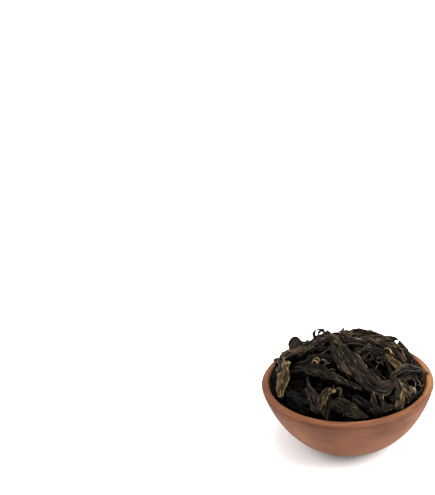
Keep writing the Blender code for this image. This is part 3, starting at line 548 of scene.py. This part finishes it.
def cross_section(look, rough, width, half, pleats, across, along):
    """How far aside and how high a strip's points lie, from its slope at each, which lets folds overhang."""
    phase = 2 * np.pi * (pleats * (across + 1) / 2 + waver(rough, "wander", across * pleats, along))
    broad = 2 * np.pi * (width / look["broad"] * (across + 1) / 2 + waver(rough, "broad", across, along))
    steep = np.radians(look["fold"]) * waver(rough, "steep", across * pleats, along)
    bow = np.radians(look["bow"]) * waver(rough, "bow", along)
    curl = np.radians(look["curl"]) * waver(rough, "curl", along)
    lean = steep * folded(phase) + np.radians(look["gather"]) * np.sin(broad)
    lean = lean + np.radians(waver(rough, "lean", across * LEAN_FOLDS, along))
    lean = lean - bow * across - curl * np.sign(across) * np.abs(across) ** CURL_SHARPNESS
    step = half * (2 / (across.size - 1))
    aside = np.cumsum(np.cos(lean) * step, axis=1)
    rise = np.cumsum(np.sin(lean) * step, axis=1)
    spread = 2 * half.mean(1, keepdims=True) / np.maximum(aside[:, -1:] - aside[:, :1], LEAST_SPAN)
    spread = np.clip(spread, *WIDENING)
    return [(part - part.mean(1, keepdims=True)) * spread for part in (aside, rise)]


def strip(route, width, form, tone, hue, seed, detail=1.0):
    """One pleated strip along a route."""
    return strip_on(*smooth_route(route, ROW_STEP / detail), width, form, tone, hue, seed, detail)


def strip_on(line, along, width, form, tone, hue, seed, detail=1.0):
    """A strip along a line: its points, which are there, their colours, and where they lie unrolled."""
    look = PLAIN | FORMS[form]
    rough = Noise(seed)
    length = along[-1]
    pleats = max(FEWEST_PLEATS, width * PLEATED_SLACK / look["pleat"])
    columns = max(look["columns"], int(pleats * PLEAT_COLUMNS * detail))
    across = np.linspace(-1, 1, columns)[None, :]
    edge = np.sign(across)
    along = along[:, None]
    share = along / length

    up, side = faces_along(line)
    turn = np.radians(look["twist"]) * waver(rough, "turn", along)
    up, side = up * np.cos(turn) + side * np.sin(turn), side * np.cos(turn) - up * np.sin(turn)

    swell = np.sin(np.pi * (END_INSET + (1 - 2 * END_INSET) * share)) ** SWELL_POWER
    torn = waver(rough, "torn", along, EDGES_APART["torn"] * edge)
    half = width / 2 * np.maximum(look["end"], swell) * (1 + look["fray"] * torn)
    half = half * (1 + look["taper"] * (share - TAPER_MIDDLE))
    aside, rise = cross_section(look, rough, width, half, pleats, across, along)
    # crest is high where a point stands above its neighbours across the strip: it paints highlight on crests
    # and shade in the hollows
    beside = (np.roll(rise, CREST_SPAN, 1) + np.roll(rise, -CREST_SPAN, 1)) / 2
    crest = np.clip(0.5 + CREST_CONTRAST * (rise - beside), 0, 1)

    size = min(1.0, width / FULL_SIZE)
    frill = look["frill"] * np.abs(across) ** FRILL_SHARPNESS
    frill = frill * waver(rough, "frill", along, EDGES_APART["frill"] * edge)
    rise = rise + size * look["crumple"] * waver(rough, "crumple", along, across * width) + frill
    rise = rise + size * waver(rough, "drift", along)
    aside = aside + size * look["crumple"] * waver(rough, "sway", along)
    points = line[:, None, :] + side[:, None, :] * aside[..., None] + up[:, None, :] * rise[..., None]
    points = clear_of_bowl(points, np.hypot(line[:, 0], line[:, 1])[:, None])

    first = look["torn"] * np.abs(waver(rough, "first teeth", across * pleats))
    last = look["torn"] * np.abs(waver(rough, "last teeth", across * pleats))
    there = (along >= first) & (along <= length - last)

    # A painted highlight along the edges, wavering along them, with the ends made paler too
    edge_highlight = np.abs(across) ** EDGE_HIGHLIGHT_SHARPNESS * waver(rough, "edge_highlight", along, EDGES_APART["edge_highlight"] * edge)
    edge_highlight = edge_highlight + END_PALENESS * np.abs(2 * share - 1) ** END_SHARPNESS
    # The colour's level: the tone, random patches, painted highlight on the crests and painted shade in the
    # hollows, then the painted edge highlight
    bright = tone + waver(rough, "patches", along, across * width) + look["crest_light_and_shade"] * (crest - 0.5)
    bright = np.clip(bright + EDGE_HIGHLIGHT * edge_highlight, 0, 1)
    shade = np.stack([np.broadcast_to(part, crest.shape) for part in (bright, hue, 0.0, 1.0)], -1)
    unrolled = [np.broadcast_to(part / UNROLLED, crest.shape) for part in (along, across * width / 2)]
    return points, there, shade, np.stack(unrolled, -1)


def loose_edges(grid, count, tone, hue, seed):
    """Thin edges that stand a little off a strip and wander over it along its length."""
    draw = random.Random(seed)
    rows, columns, _ = grid.shape
    up = unit(np.cross(np.gradient(grid.mean(1), axis=0), grid[:, 0] - grid[:, -1]))
    edges = []
    for _ in range(count):
        first = draw.uniform(*EDGE_START)
        last = min(1.0, first + draw.uniform(*EDGE_RUN))
        row = np.arange(int(first * (rows - 1)), int(last * (rows - 1)) + 1)
        if len(row) < FEWEST_ROWS:
            continue
        share = np.linspace(0, 1, len(row))
        side = draw.uniform(*EDGE_SIDE) + draw.uniform(*EDGE_DRIFT) * share
        side = side + EDGE_WOBBLE * np.sin(draw.uniform(*WOBBLE_TURNS) * share + draw.uniform(*WOBBLE_PHASES))
        side = np.clip(side, 0, 1) * (columns - 1)
        left = np.minimum(side.astype(int), columns - 2)
        part = (side - left)[:, None]
        line = grid[row, left] * (1 - part) + grid[row, left + 1] * part
        line[1:-1] = (line[:-2] + line[1:-1] + line[2:]) / 3
        lift = EDGE_LIFT + draw.uniform(*EDGE_ARCH) * np.sin(np.pi * share) ** 2
        line = line + up[row] * lift[:, None]
        bright = tone + draw.uniform(*EDGE_TONES)
        width = draw.uniform(*EDGE_WIDTHS)
        own_seed = draw.randrange(SEEDS)
        edges.append(strip_on(line, reach_along(line), width, "edge", bright, hue, own_seed, EDGE_DETAIL))
    return edges


def bundle(route, width, tone, hue, seed):
    """Several narrow strands side by side along one route."""
    draw = random.Random(seed)
    knots = [Vector(knot) for knot in route]
    own_stray, stray_by_width = STRAND_STRAY
    stray = own_stray + stray_by_width * width
    strands = []
    count = max(FEWEST_STRANDS, round(width / STRAND_SPACING))
    for strand in range(count):
        offset = width * BUNDLE_SPAN * (2 * strand / (count - 1) - 1)
        start, end = draw.uniform(*STRAND_STARTS), draw.uniform(*STRAND_ENDS)
        shifted = []
        for place, knot in enumerate(knots):
            before, after = knots[max(place - 1, 0)], knots[min(place + 1, len(knots) - 1)]
            heading = Vector((after.x - before.x, after.y - before.y)).normalized()
            aside = offset + stray * draw.uniform(-1, 1)
            lift = draw.uniform(-1, 1) - BUNDLE_ROUND * offset * offset
            shifted.append((knot.x + heading.y * aside, knot.y - heading.x * aside, knot.z + lift))
        shifted[0] = tuple(Vector(shifted[0]).lerp(Vector(shifted[1]), start))
        shifted[-1] = tuple(Vector(shifted[-2]).lerp(Vector(shifted[-1]), end))
        own_tone = tone + draw.uniform(*STRAND_TONES)
        own_hue = min(max(hue + draw.uniform(*STRAND_HUES), 0), 1)
        own_width = width * draw.uniform(*STRAND_WIDTHS)
        strands.append(strip(shifted, own_width, "strand", own_tone, own_hue, draw.randrange(SEEDS)))
    return strands


def leaf_mesh(name, strips, material):
    """All the strips as one object: thin closed sheets."""
    points, faces, shades, places = [], [], [], []
    count = 0
    for grid, there, shade, unrolled in strips:
        rows, columns = there.shape
        index = np.arange(rows * columns).reshape(rows, columns)
        corners = np.stack((index[:-1, :-1], index[:-1, 1:], index[1:, 1:], index[1:, :-1]), -1)
        corners = corners[there.ravel()[corners].all(-1)]
        used, renumbered = np.unique(corners, return_inverse=True)
        points.append(grid.reshape(-1, 3)[used])
        shades.append(shade.reshape(-1, 4)[used])
        places.append(unrolled.reshape(-1, 2)[used])
        faces.append(renumbered.reshape(-1, 4) + count)
        count += len(used)
    faces = np.concatenate(faces)
    mesh = bpy.data.meshes.new(name)
    mesh.vertices.add(count)
    mesh.vertices.foreach_set("co", (np.concatenate(points) * MM).astype(np.float32).ravel())
    mesh.loops.add(faces.size)
    mesh.loops.foreach_set("vertex_index", faces.astype(np.int32).ravel())
    mesh.polygons.add(len(faces))
    mesh.polygons.foreach_set("loop_start", np.arange(len(faces), dtype=np.int32) * faces.shape[1])
    mesh.update(calc_edges=True)
    colours = mesh.color_attributes.new("leaf", "FLOAT_COLOR", "POINT")
    colours.data.foreach_set("color", np.concatenate(shades).astype(np.float32).ravel())
    flat = mesh.uv_layers.new(name="unrolled")
    flat.data.foreach_set("uv", np.concatenate(places)[faces.ravel()].astype(np.float32).ravel())
    item = smooth_object(name, mesh, material)
    sheet = item.modifiers.new("thickness", "SOLIDIFY")
    sheet.thickness = LEAF_THICKNESS * MM
    sheet.offset = 0
    return item


def solid_object(name, points, faces, material):
    mesh = bpy.data.meshes.new(name)
    mesh.from_pydata((np.asarray(points) * MM).tolist(), [], faces)
    return smooth_object(name, mesh, material)


def ring_faces(rings):
    """Faces between each ring of points and the next one, where a ring of one point is a tip."""
    faces = []
    for upper, lower in zip(rings, rings[1:]):
        sides = max(len(upper), len(lower))
        if sides == 1:
            continue
        for side in range(sides):
            after = (side + 1) % sides
            if len(upper) == 1:
                faces.append((upper[0], lower[side], lower[after]))
            elif len(lower) == 1:
                faces.append((upper[side], lower[0], upper[after]))
            else:
                faces.append((upper[side], lower[side], lower[after], upper[after]))
    return faces


def added(name, content):
    item = bpy.data.objects.new(name, content)
    bpy.context.scene.collection.objects.link(item)
    return item


def smooth_object(name, mesh, material):
    mesh.shade_smooth()
    mesh.materials.append(material)
    return added(name, mesh)


# ---- wakame


def spread_strips(name, keep=None, left_out=()):
    """Strips spread over the heap at the golden angle, each with a drawn length, bend and heading."""
    rule = SPREADS[name]
    draw = random.Random(rule["seed"])
    dark, brighter = rule["tones"]
    forms = rule["forms"]
    strips = []
    for place in range(rule["places"]):
        angle = place * GOLDEN_ANGLE
        out = rule["reach_out"] * math.sqrt((place + 0.5) / rule["places"])
        x, y = out * math.cos(angle), out * math.sin(angle)
        heading = angle + math.radians(draw.uniform(*rule["turns"]))
        bend = math.radians(draw.uniform(-MOST_BEND, MOST_BEND))
        reach = draw.uniform(*rule["reaches"])
        width = draw.uniform(*rule["widths"])
        lift = draw.uniform(*rule["lifts"])
        if keep and not keep(x, y):
            continue
        tone = dark + brighter * draw.random() ** 2
        if place in left_out:
            continue
        route = []
        for share in SPREAD_KNOTS:
            turned = heading + bend * share
            px = x + reach * share * math.cos(turned)
            py = y + reach * share * math.sin(turned)
            pull = min(1.0, (MOUTH_RADIUS - OVER_LIP - OFF_THE_WALL) / math.hypot(px, py))
            route.append((px * pull, py * pull, -1 if abs(share) == 1 else lift))
        hue = (place * rule["hue_step"]) % 1
        form = forms[place % len(forms)]
        strips.append(strip(route, width, form, tone, hue, place + rule["first_seed"], rule["detail"]))
    return strips


def at_the_rear(x, y):
    return y >= REAR_FROM


def out_of_the_dark(x, y):
    """Whether a place is clear of the heap's dark gaps."""
    return all(math.hypot(x - gap_x, y - gap_y) > gap for gap_x, gap_y, gap in DARK_GAPS)


def named_strips():
    """The named fronds as four lists: broad, thin and deep ones, the deep ones darkened as painted shade, and
    the edges that stand off the broad.
    """
    broad, thin, deep, edges = [], [], [], []
    for seed, frond in enumerate(NAMED_FRONDS):
        name, width, tone, hue, form, edge_count, edge_tone, route = frond
        if form == "bundle":
            thin += bundle(route, width, tone, hue, seed + NAMED_SEED)
            continue
        made = strip(route, width, form, tone, hue, seed + NAMED_SEED)
        # the fronds by the wall go with the darkened ones, as painted shade
        if name in WALL_SHADED_FRONDS:
            deep.append(made)
        elif form == "strand":
            thin.append(made)
        else:
            broad.append(made)
        edges += loose_edges(made[0], edge_count, edge_tone, hue, seed + EDGE_SEED)
    return broad, thin, deep, edges


def small_strips():
    strips = []
    for seed, (width, tone, hue, form, route) in enumerate(SMALL_FRONDS, SMALL_SEED):
        if form == "bundle":
            strips += bundle(route, width, tone, hue, seed)
        else:
            strips.append(strip(route, width, form, tone, hue, seed))
    return strips


def heap_core(material):
    """The dark crumpled mass under the fronds, closed underneath."""
    humps, creases = [Noise(seed) for seed in CORE_SEEDS]
    angle = np.linspace(0, 2 * np.pi, CORE_SIDES, endpoint=False)
    around, up_and_down = np.cos(angle), np.sin(angle)
    crease_height, crease_length = CORE_CREASES

    def surface(out):
        x, y = out * around, out * up_and_down
        ridge = 1 - 2 * np.abs(creases(x / crease_length, y / crease_length))
        rough = sum(height * humps(x / length, y / length) for height, length in CORE_HUMPS)
        z = heap_height(x, y) - CORE_SINK + rough + crease_height * ridge
        inside = np.minimum(1, (hollow_radius(z - CLEARANCE) - CLEARANCE) / np.hypot(x, y))
        return np.column_stack((x * inside, y * inside, z))

    grids = [surface(MOUTH_RADIUS * ring / CORE_RINGS) for ring in range(1, CORE_RINGS + 1)]
    edge = grids[-1]
    for share in np.linspace(0, 1, CORE_SIDE_RINGS)[1:]:
        z = edge[:, 2] * (1 - share) + (FLOOR_HEIGHT + CORE_FOOT_GAP) * share
        out = np.minimum(np.hypot(edge[:, 0], edge[:, 1]), hollow_radius(z - CLEARANCE) - CLEARANCE)
        grids.append(np.column_stack((out * around, out * up_and_down, z)))
    top = [0, 0, float(heap_height(0, 0)) - CORE_SINK]
    points = np.concatenate([[top], *grids, [[0, 0, CORE_BASE]]])
    last = len(points) - 1
    rings = [range(start, start + CORE_SIDES) for start in range(1, last, CORE_SIDES)]
    return solid_object("wakame_core", points, ring_faces([[0], *rings, [last]]), material)


# ---- materials


def new_node(tree, kind, inputs, **settings):
    """A node with its settings. Each input is given a value or what another node gives."""
    node = tree.nodes.new(kind)
    for name, value in settings.items():
        setattr(node, name, value)
    for place, value in inputs.items():
        if isinstance(value, (int, float, tuple)):
            node.inputs[place].default_value = value
        else:
            tree.links.new(value, node.inputs[place])
    return node


def new_material(name, finish):
    material = bpy.data.materials.new(name)
    material.use_nodes = True
    tree = material.node_tree
    tree.nodes.clear()
    given = dict(zip(("Roughness", "Specular IOR Level"), finish))
    surface = new_node(tree, "ShaderNodeBsdfPrincipled", given)
    new_node(tree, "ShaderNodeOutputMaterial", {"Surface": surface.outputs["BSDF"]})
    return material, tree, surface


def colour_ramp(tree, factor, stops):
    node = new_node(tree, "ShaderNodeValToRGB", {"Fac": factor})
    marks = node.color_ramp.elements
    while len(marks) < len(stops):
        marks.new(0.5)
    for mark, (place, colour) in zip(marks, stops):
        mark.position = place
        mark.color = (*colour, 1)
    return node.outputs["Color"]


def math_node(tree, operation, *values):
    return new_node(tree, "ShaderNodeMath", dict(enumerate(values)), operation=operation).outputs[0]


def mix_colour(tree, factor, first, second):
    return new_node(tree, "ShaderNodeMix", {0: factor, 6: first, 7: second}, data_type="RGBA").outputs[2]


def noise_node(tree, vector, scale, detail=3.0, rough=0.6, distortion=0.0):
    given = {"Vector": vector, "Scale": scale, "Detail": detail, "Roughness": rough, "Distortion": distortion}
    return new_node(tree, "ShaderNodeTexNoise", given).outputs["Fac"]


def stretched(tree, source, scale):
    return new_node(tree, "ShaderNodeMapping", {"Vector": source, "Scale": scale}).outputs["Vector"]


def map_range(tree, value, source, target=(0.0, 1.0)):
    names = ("Value", "From Min", "From Max", "To Min", "To Max")
    given = dict(zip(names, (value, *source, *target)))
    return new_node(tree, "ShaderNodeMapRange", given).outputs["Result"]


def stirred(tree, level, noise, amount):
    """A level moved up and down by a noise."""
    stir = math_node(tree, "SUBTRACT", noise, 0.5)
    return math_node(tree, "ADD", level, math_node(tree, "MULTIPLY", stir, amount))


def bumped(tree, surface, height, strength, depth):
    bump = new_node(tree, "ShaderNodeBump", {"Strength": strength, "Distance": depth * MM, "Height": height})
    tree.links.new(bump.outputs["Normal"], surface.inputs["Normal"])


def wakame_material(name, finish, painted_shade=0.0):
    """From near black to golden by each frond's tone, and from purple brown to olive by its hue, then
    darkened toward black by painted shade.
    """
    material, tree, surface = new_material(name, finish)
    leaf = new_node(tree, "ShaderNodeVertexColor", {}, layer_name="leaf").outputs["Color"]
    split = new_node(tree, "ShaderNodeSeparateColor", {"Color": leaf})
    tone, hue = split.outputs["Red"], split.outputs["Green"]
    unrolled = new_node(tree, "ShaderNodeUVMap", {}, uv_map="unrolled").outputs["UV"]
    grain = noise_node(tree, stretched(tree, unrolled, GRAIN_SCALE), 1.0, 4.0)
    place = new_node(tree, "ShaderNodeTexCoord", {}).outputs["Object"]
    blotch = noise_node(tree, place, BLOTCH_SCALE)
    level = stirred(tree, stirred(tree, tone, blotch, BLOTCH_SHARE), grain, GRAIN_SHARE)
    colour = mix_colour(tree, hue, colour_ramp(tree, level, PURPLE_BROWN), colour_ramp(tree, level, OLIVE))
    # painted_shade mixes the colour toward black, painting the shade deep in the heap and by the wall
    tree.links.new(mix_colour(tree, painted_shade, colour, BLACK), surface.inputs["Base Color"])
    bumped(tree, surface, grain, GRAIN_BUMP, GRAIN_DEPTH)
    return material


def core_material():
    material, tree, surface = new_material("wakame_core", CORE_FINISH)
    place = new_node(tree, "ShaderNodeTexCoord", {}).outputs["Object"]
    blotch = noise_node(tree, place, CORE_BLOTCH_SCALE, 4.0)
    # near black: the wakame's own dark with painted shade of the heap's depths
    tree.links.new(colour_ramp(tree, blotch, CORE_DARK_AND_SHADE), surface.inputs["Base Color"])
    return material


def wood_material():
    """Reddish-brown wood with a satin finish, its streaks running round the bowl."""
    material, tree, surface = new_material("bowl_wood", WOOD_FINISH)
    round_bowl = new_node(tree, "ShaderNodeAttribute", {}, attribute_name="turned").outputs["Vector"]
    split = new_node(tree, "ShaderNodeSeparateXYZ", {"Vector": round_bowl})
    rightward, from_lip = split.outputs["X"], split.outputs["Z"]
    place = new_node(tree, "ShaderNodeTexCoord", {}).outputs["Object"]
    streaks = noise_node(tree, stretched(tree, round_bowl, STREAK_SCALE), 1.0, distortion=0.6)
    fibres = noise_node(tree, stretched(tree, round_bowl, FIBRE_SCALE), 1.0)
    patches = noise_node(tree, place, PATCH_SCALE, 2.0, 0.5)

    level = math_node(tree, "MULTIPLY_ADD", patches, PATCH_SHARE, PATCH_LEVEL)
    level = math_node(tree, "MULTIPLY_ADD", fibres, FIBRE_SHARE, level)
    level = math_node(tree, "MULTIPLY_ADD", streaks, STREAK_SHARE, level)
    # The wall darker under the lip and paler toward the foot: painted shade and painted floor-bounce light
    level = math_node(tree, "ADD", level, map_range(tree, from_lip, *WALL_SHADE_TO_BOUNCE_LIGHT))
    wall = colour_ramp(tree, level, WALL_WOOD)
    # painted light: the lip's tone rises toward its right side
    lip_level = math_node(tree, "ADD", streaks, map_range(tree, rightward, *LIP_PAINTED_LIGHT_RIGHT))
    lip = colour_ramp(tree, lip_level, LIP_WOOD_AND_LIGHT)
    # The hollow takes the lip's paler wood again: painted light on the inner wall
    before_hollow = math_node(tree, "LESS_THAN", from_lip, HOLLOW_LIGHT_START)
    outside = math_node(tree, "MULTIPLY", map_range(tree, from_lip, LIP_END), before_hollow)
    tree.links.new(mix_colour(tree, outside, lip, wall), surface.inputs["Base Color"])
    bumped(tree, surface, fibres, FIBRE_BUMP, FIBRE_DEPTH)
    return material


# ---- bowl


def arc(centre, radius, start, end, count):
    """(radius, height) points round part of a circle, from one angle in degrees to another."""
    for angle in np.radians(np.linspace(start, end, count)):
        yield centre[0] + radius * math.cos(angle), centre[1] + radius * math.sin(angle)


def fine_profile():
    """From the lip's inner edge over the lip, down the outside, across the base and up the hollow."""
    tilt = math.degrees(math.atan2(LIP_DROP, LIP_WIDTH))
    inner_height = BOWL_HEIGHT - LIP_EASE - LIP_EDGE
    inner = arc((MOUTH_RADIUS + LIP_EDGE, inner_height), LIP_EDGE, 180, 90 - tilt, INNER_EDGE_POINTS)
    outer_height = BOWL_HEIGHT - LIP_DROP - LIP_EDGE + OUTER_EDGE_LIFT
    outer = arc((RIM_RADIUS - LIP_EDGE, outer_height), LIP_EDGE, 90 - tilt, 0, OUTER_EDGE_POINTS)
    groove = []
    for drop, depth in GROOVE:
        groove.append((float(outer_radius(outer_height - drop)) - depth, outer_height - drop))
    wall = []
    for step in range(1, WALL_STEPS):
        height = (outer_height - WALL_TOP_DROP) * (1 - step / WALL_STEPS) ** WALL_CROWDING
        wall.append((float(outer_radius(height)), height))
    base = [(FOOT_RADIUS, 0.0), (FOOT_RADIUS * 0.5, 0.0), (0.0, 0.0)]
    hollow = [(0.0, FLOOR_HEIGHT)]
    for step in range(1, HOLLOW_STEPS):
        height = FLOOR_HEIGHT + (inner_height - FLOOR_HEIGHT) * (step / HOLLOW_STEPS) ** HOLLOW_CROWDING
        hollow.append((float(hollow_radius(height)), height))
    return [*inner, *outer, *groove, *wall, *base, *hollow]


def turned_bowl(material):
    """The profile turned round, with each point's place on the unrolled surface for the wood's streaks."""
    profile = fine_profile()
    points, rings, turned = [], [], []
    reach = 0.0
    last = profile[0]
    for radius, height in profile:
        reach += math.hypot(radius - last[0], height - last[1])
        last = (radius, height)
        if radius == 0.0:
            rings.append([len(points)])
            points.append((0.0, 0.0, height))
            turned.append((0.0, 0.0, reach))
            continue
        rings.append(list(range(len(points), len(points) + BOWL_SIDES)))
        for side in range(BOWL_SIDES):
            angle = 2 * math.pi * side / BOWL_SIDES
            points.append((radius * math.cos(angle), radius * math.sin(angle), height))
            turned.append((RIM_RADIUS * math.cos(angle), RIM_RADIUS * math.sin(angle), reach))
    item = solid_object("turned_bowl", points, ring_faces(rings + rings[:1]), material)
    item.data.attributes.new("turned", "FLOAT_VECTOR", "POINT").data.foreach_set("vector", np.ravel(turned))
    return item


# ---- floor and light


def photo_camera():
    """The photograph's camera, which looks down on the rim's middle from the front."""
    elevation = math.radians(CAMERA_ELEVATION)
    rim = Vector((0, 0, BOWL_HEIGHT * MM))
    place = rim + CAMERA_DISTANCE * Vector((0, -math.cos(elevation), math.sin(elevation)))
    ahead = (rim - place).normalized()
    right = Vector((1, 0, 0))
    aimed = Matrix((right, right.cross(ahead), -ahead)).transposed()
    aside, above = RIM_PIXEL[0] - PHOTO_WIDTH / 2, PHOTO_HEIGHT / 2 - RIM_PIXEL[1]
    toward = Vector((aside, above, -FOCAL_PIXELS)).normalized()
    swing = Vector((0, 0, -1)).rotation_difference(toward).to_matrix()
    turn = aimed @ (swing @ Matrix.Rotation(CAMERA_ROLL, 3, "Z")).transposed()
    camera = added("photo_camera", bpy.data.cameras.new("photo_camera"))
    camera.matrix_world = Matrix.Translation(place) @ turn.to_4x4()
    camera.data.lens = FOCAL_PIXELS / PHOTO_HEIGHT * camera.data.sensor_width
    bpy.context.scene.camera = camera


def area_light(name, place, aim, power):
    lamp = bpy.data.lights.new(name, "AREA")
    lamp.shape = "SQUARE"
    lamp.size = LIGHT_SIZE
    lamp.energy = power
    item = added(name, lamp)
    item.location = place
    item.rotation_euler = (Vector(aim) - Vector(place)).to_track_quat("-Z", "Y").to_euler()


def studio():
    """A plain pale floor, a white sky and three soft lights."""
    low, high = -FLOOR_HALF, FLOOR_HALF
    mesh = bpy.data.meshes.new("floor")
    mesh.from_pydata([(low, low, 0), (high, low, 0), (high, high, 0), (low, high, 0)], [], [(0, 1, 2, 3)])
    floor = added("floor", mesh)
    material, _, surface = new_material("pale_floor", FLOOR_FINISH)
    surface.inputs["Base Color"].default_value = FLOOR_COLOUR
    mesh.materials.append(material)
    world = bpy.data.worlds.new("studio")
    world.use_nodes = True
    sky = world.node_tree.nodes["Background"]
    sky.inputs["Color"].default_value = (1, 1, 1, 1)
    sky.inputs["Strength"].default_value = SKY_STRENGTH
    bpy.context.scene.world = world
    for light in LIGHTS:
        area_light(*light)
    bpy.context.scene.view_settings.view_transform = "Standard"


# ---- main

photo_camera()
studio()

wood = wood_material()
bowl = turned_bowl(wood)
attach(bowl, "root")
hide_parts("bowl")

wakame = wakame_material("dried_wakame", WAKAME_FINISH)
shaded_wakame = wakame_material("shaded_wakame", DEEP_FINISH, DEEP_SHADE)
core = heap_core(core_material())
pieces = [core]
broad, thin, deep, edges = named_strips()
for name, material, strips in (
    ("broad_fronds", wakame, broad),
    ("frond_bundles", wakame, thin),
    ("loose_edges", wakame, edges),
    ("small_fronds", wakame, small_strips()),
    ("rear_fronds", wakame, spread_strips("rear", at_the_rear)),
    # The filling and the wall leaves take the wakame darkened toward black: painted shade
    ("filling_fronds", shaded_wakame, deep + spread_strips("filling")),
    ("thin_strands", wakame, spread_strips("thin", out_of_the_dark, OVER_GAPS)),
):
    pieces.append(leaf_mesh(name, strips, material))
for piece in pieces:
    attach(piece, "root")
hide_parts("wakame_heap")
